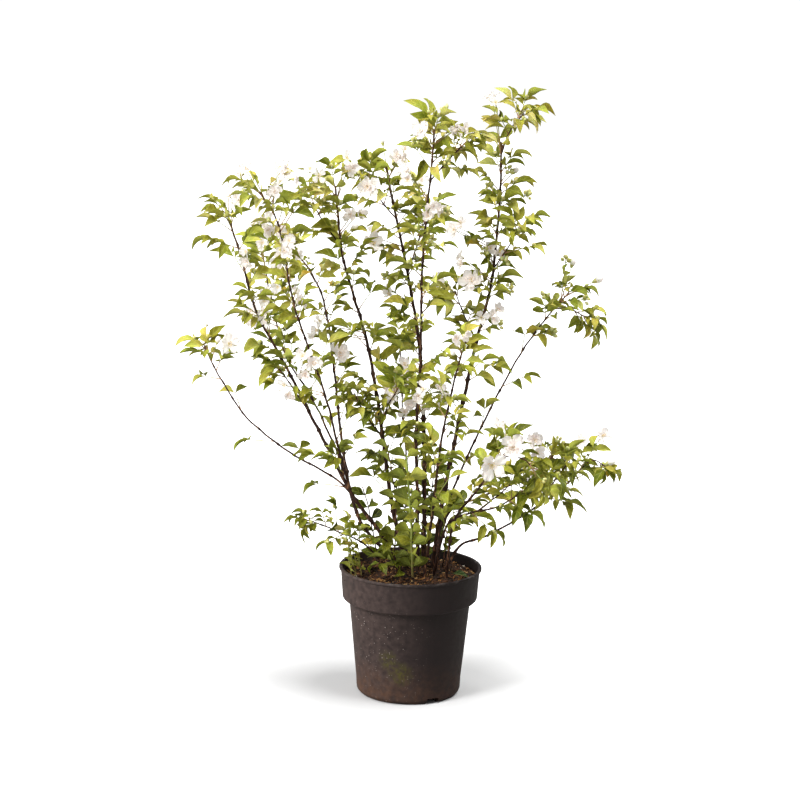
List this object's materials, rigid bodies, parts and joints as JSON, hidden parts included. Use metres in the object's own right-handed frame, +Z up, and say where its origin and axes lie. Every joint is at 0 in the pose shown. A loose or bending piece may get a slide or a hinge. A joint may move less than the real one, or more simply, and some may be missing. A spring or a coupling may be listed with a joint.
{
  "type": "potted mock orange",
  "caption": "Young mock orange shrub with arching leafy canes and small white flowers, growing in a round black nursery pot.",
  "frame": {"origin": "centre of the underside of the pot's floor", "axes": "+Z up along the pot's axis, the front of the plant towards -Y, +X to the right seen from the front"},
  "size_m": [0.723, 0.4702, 1.0106],
  "materials": {
    "pot_plastic": "satin moulded polypropylene, dusty",
    "compost": "rough bark and peat compost",
    "foliage": "satin living leaf and rough purple-brown bark",
    "petals": "soft matte petal with a yellow stamen centre",
    "old_leaf": "satin old leaf"
  },
  "bodies": {
    "root": {"pot": "pot_plastic", "soil": "compost", "cane_a": "foliage", "cane_d": "foliage", "cane_e": "foliage", "cane_f": "foliage", "cane_g": "foliage", "cane_h": "foliage", "cane_i": "foliage", "cane_j": "foliage", "cane_k": "foliage", "cane_l": "foliage", "cane_m": "foliage", "cane_n": "foliage", "cane_o": "foliage", "cane_q": "foliage", "basal_shoot": "foliage", "rim_seedling": "foliage", "bloom_01": "petals", "bloom_02": "petals", "bloom_03": "petals", "bloom_04": "petals", "bloom_05": "petals", "bloom_06": "petals", "bloom_07": "petals", "bloom_08": "petals", "bloom_09": "petals", "bloom_10": "petals", "bloom_11": "petals", "bloom_12": "petals", "bloom_13": "petals", "bloom_14": "petals", "bloom_15": "petals", "bloom_16": "petals", "bloom_17": "petals", "bloom_18": "petals", "bloom_19": "petals", "bloom_20": "petals", "bloom_21": "petals", "bloom_22": "petals", "bloom_23": "petals", "bloom_24": "petals", "bloom_25": "petals", "bloom_26": "petals", "bloom_27": "petals", "bloom_28": "petals", "bloom_29": "petals", "bloom_30": "petals", "bloom_31": "petals", "bloom_32": "petals", "bloom_33": "petals", "bloom_34": "petals", "bloom_35": "petals", "bloom_36": "petals", "bloom_37": "petals", "bloom_38": "petals", "bloom_39": "petals", "bloom_40": "petals", "fallen_leaf": "old_leaf"}
  },
  "joints": []
}
